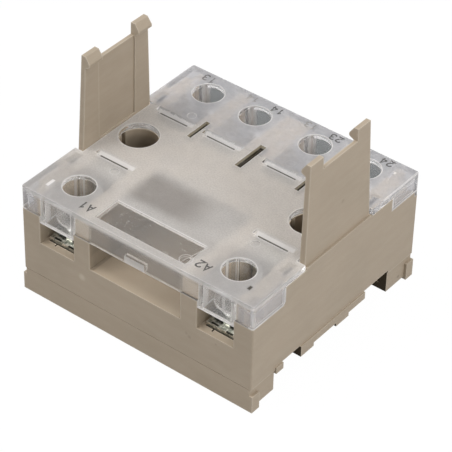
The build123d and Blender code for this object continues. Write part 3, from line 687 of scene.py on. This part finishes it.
# Materials on the CAD parts
base_look = moulded_plastic("moulded_beige_base", base_hole_shade, base_tint, hollow=True)
dress("housing", moulded_plastic("moulded_beige", housing_marks, shades=housing_shades))
dress("base_plate", base_look)
dress("rail_lock", base_look)
dress("terminal_cover", clear_plastic("clear_cover_plastic"))
dress("lock_spring", plated_metal("spring_wire", spring_colours, rough=0.3))
metal_looks = {
    "screw_": plated_metal("nickel_screw", screw_colours, rough=0.28),
    "clamp_": plated_metal("nickel_clamp", clamp_colours, 0.3, groove_hollows),
    "contact_": plated_metal("tinned_contact", contact_colours, 0.34, strip_hollows),
}
for kind, look in metal_looks.items():
    for key in terminals:
        dress(kind + key, look)

# Terminal numbers printed on the cover, read from the back: text, middle, height and ink
ink_look = ink("print_ink", ink_colour)
worn_look = ink("worn_print_ink", worn_ink_colour)
ghost_look = ink("painted_ghost_number_ink", ghost_number_colour)
labels = {
    "label_a1": ("A1", -16.8, -27.6, 2.25, ink_look),
    "label_a2": ("A2", 16.4, -27.0, 2.25, ink_look),
    "label_13": ("13", -26.65, 28.8, 2.15, worn_look),
    "label_14": ("14", -6.1, 29.1, 2.0, ink_look),
    "label_23": ("23", 11.2, 29.1, 2.0, ink_look),
    "label_24": ("24", 25.8, 29.2, 2.05, ink_look),
    # Faint ghost images of two nearby numbers, painted light rather than print
    "label_14_ghost": ("14", -13.6, 29.2, 1.9, ghost_look),
    "label_13_ghost": ("13", 3.7, 29.3, 1.9, ghost_look),
}

# Pen lines of each letter, in a box 1 wide and 1.5 high
glyph_height = 1.5
letter_step = 1.36
pen = 0.14
least_mitre = 0.45
two_top = ((0.03, 1.15), (0.15, 1.4), (0.5, 1.5), (0.85, 1.38), (0.92, 1.08), (0.7, 0.7))
three_top = ((0.04, 1.28), (0.25, 1.48), (0.65, 1.48), (0.88, 1.25), (0.84, 0.95))
three_middle = ((0.6, 0.8), (0.35, 0.8))
three_bottom = ((0.6, 0.8), (0.94, 0.6), (0.96, 0.28), (0.68, 0.02), (0.3, 0.02), (0.02, 0.24))
glyphs = {
    "A": (((0, 0), (0.5, 1.5), (1, 0)), ((0.18, 0.5), (0.82, 0.5))),
    "1": (((0.16, 1.12), (0.56, 1.5), (0.56, 0)),),
    "2": ((*two_top, (0.02, 0), (1, 0)),),
    "3": ((*three_top, *three_middle), three_bottom),
    "4": (((0.74, 0), (0.74, 1.5), (0, 0.45)), ((0, 0.45), (1, 0.45))),
}


def sides_of_line(points):
    """Pairs of points on both sides of a pen line, with mitred corners."""
    pairs = []
    for number, point in enumerate(points):
        here = Vector(point)
        ways = []
        if number:
            ways.append((here - Vector(points[number - 1])).normalized())
        if number < len(points) - 1:
            ways.append((Vector(points[number + 1]) - here).normalized())
        way = (ways[0] + ways[-1]).normalized()
        across = Vector((-way.y, way.x)) * pen / max(least_mitre, way.dot(ways[0]))
        pairs.append((here + across, here - across))
    return pairs


def add_label(name, words, x, y, height, look):
    """Flat printed letters just above the cover, each pen line a little over the last."""
    unit = height / glyph_height
    width = letter_step * (len(words) - 1) + 1
    first_lift = 0.012
    next_lift = 0.003
    spots = []
    faces = []
    for number, letter in enumerate(words):
        for layer, line in enumerate(glyphs[letter]):
            level = (cover_top + first_lift + next_lift * layer) * MM
            first = len(spots)
            for pair in sides_of_line(line):
                for spot in pair:
                    along = (spot.x + letter_step * number - width / 2) * unit
                    rise = (spot.y - glyph_height / 2) * unit
                    spots.append(((x - along) * MM, (y - rise) * MM, level))
            for corner in range(first, len(spots) - 2, 2):
                faces.append((corner, corner + 1, corner + 3, corner + 2))
    mesh = bpy.data.meshes.new(name)
    mesh.from_pydata(spots, [], faces)
    mesh.materials.append(look)
    label = bpy.data.objects.new(name, mesh)
    scene.collection.objects.link(label)
    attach(label, "socket_body")


for name, print_values in labels.items():
    add_label(name, *print_values)


def seen_directly(tree):
    """1 for rays from the camera, a reflection or the clear plastic, else 0."""
    rays = put(tree, "ShaderNodeLightPath").outputs
    seen = maths(tree, "ADD", rays["Is Camera Ray"], rays["Is Glossy Ray"], clamp=True)
    return maths(tree, "ADD", seen, rays["Is Transmission Ray"], clamp=True)


def floor_material():
    """White where it is seen, but with the object's soft shadow showing a little."""
    material, tree, shader = tree_of("pale_floor")
    shader.inputs["Base Color"].default_value = floor_grey
    shader.inputs["Roughness"].default_value = 0.9
    shader.inputs["Specular IOR Level"].default_value = 0.1
    white = put(tree, "ShaderNodeEmission", {"Strength": 1.03})
    white_share = 0.96
    share = times(tree, seen_directly(tree), white_share)
    show(tree, blend_shaders(tree, share, shader, white))
    return material


# Floor under the object, in metres
floor_size = 3.0
floor_drop = 0.00005
signs = ((-1, -1), (1, -1), (1, 1), (-1, 1))
corners = [(x * floor_size, y * floor_size, -floor_drop) for x, y in signs]
floor_mesh = bpy.data.meshes.new("floor")
floor_mesh.from_pydata(corners, [], [(0, 1, 2, 3)])
floor_mesh.materials.append(floor_material())
floor = bpy.data.objects.new("floor", floor_mesh)
scene.collection.objects.link(floor)

# World, white where it is seen directly and a plain soft grey as a light
world = bpy.data.worlds.new("studio")
scene.world = world
world.use_nodes = True
sky = world.node_tree
sky.nodes.clear()
light_strength = 0.46
seen_strength = 1.0
plain = put(sky, "ShaderNodeBackground", {"Color": plain_white, "Strength": light_strength})
white = put(sky, "ShaderNodeBackground", {"Color": plain_white, "Strength": seen_strength})
mixed = blend_shaders(sky, seen_directly(sky), plain, white)
put(sky, "ShaderNodeOutputWorld", {"Surface": mixed.outputs[0]})

# Large soft lamps: place and width in metres, and power in watts
target = Vector((0, 0, 0.02))
lamps = {
    "key": ((-0.55, -0.55, 0.95), 0.7, 7.85),
    "fill": ((0.95, -0.10, 0.55), 0.7, 6.3),
    "top": ((0.1, 0.35, 1.2), 0.8, 3.3),
}
for name, (where, width, power) in lamps.items():
    data = bpy.data.lights.new(name, "AREA")
    data.shape = "SQUARE"
    data.size = width
    data.energy = power
    lamp = bpy.data.objects.new(name, data)
    lamp.location = where
    lamp.rotation_euler = (target - Vector(where)).to_track_quat("-Z", "Y").to_euler()
    scene.collection.objects.link(lamp)

# Camera where the photograph was taken from, in metres and degrees
camera_place = (0.257293, -0.333398, 0.357663)
camera_angles = (50.997134, -1.099053, 38.377107)
camera_data = bpy.data.cameras.new("camera")
camera_data.lens = 185.079
camera_data.sensor_width = 36.0
camera = bpy.data.objects.new("camera", camera_data)
camera.location = camera_place
camera.rotation_euler = [math.radians(angle) for angle in camera_angles]
scene.collection.objects.link(camera)
scene.camera = camera
scene.view_settings.view_transform = "Standard"
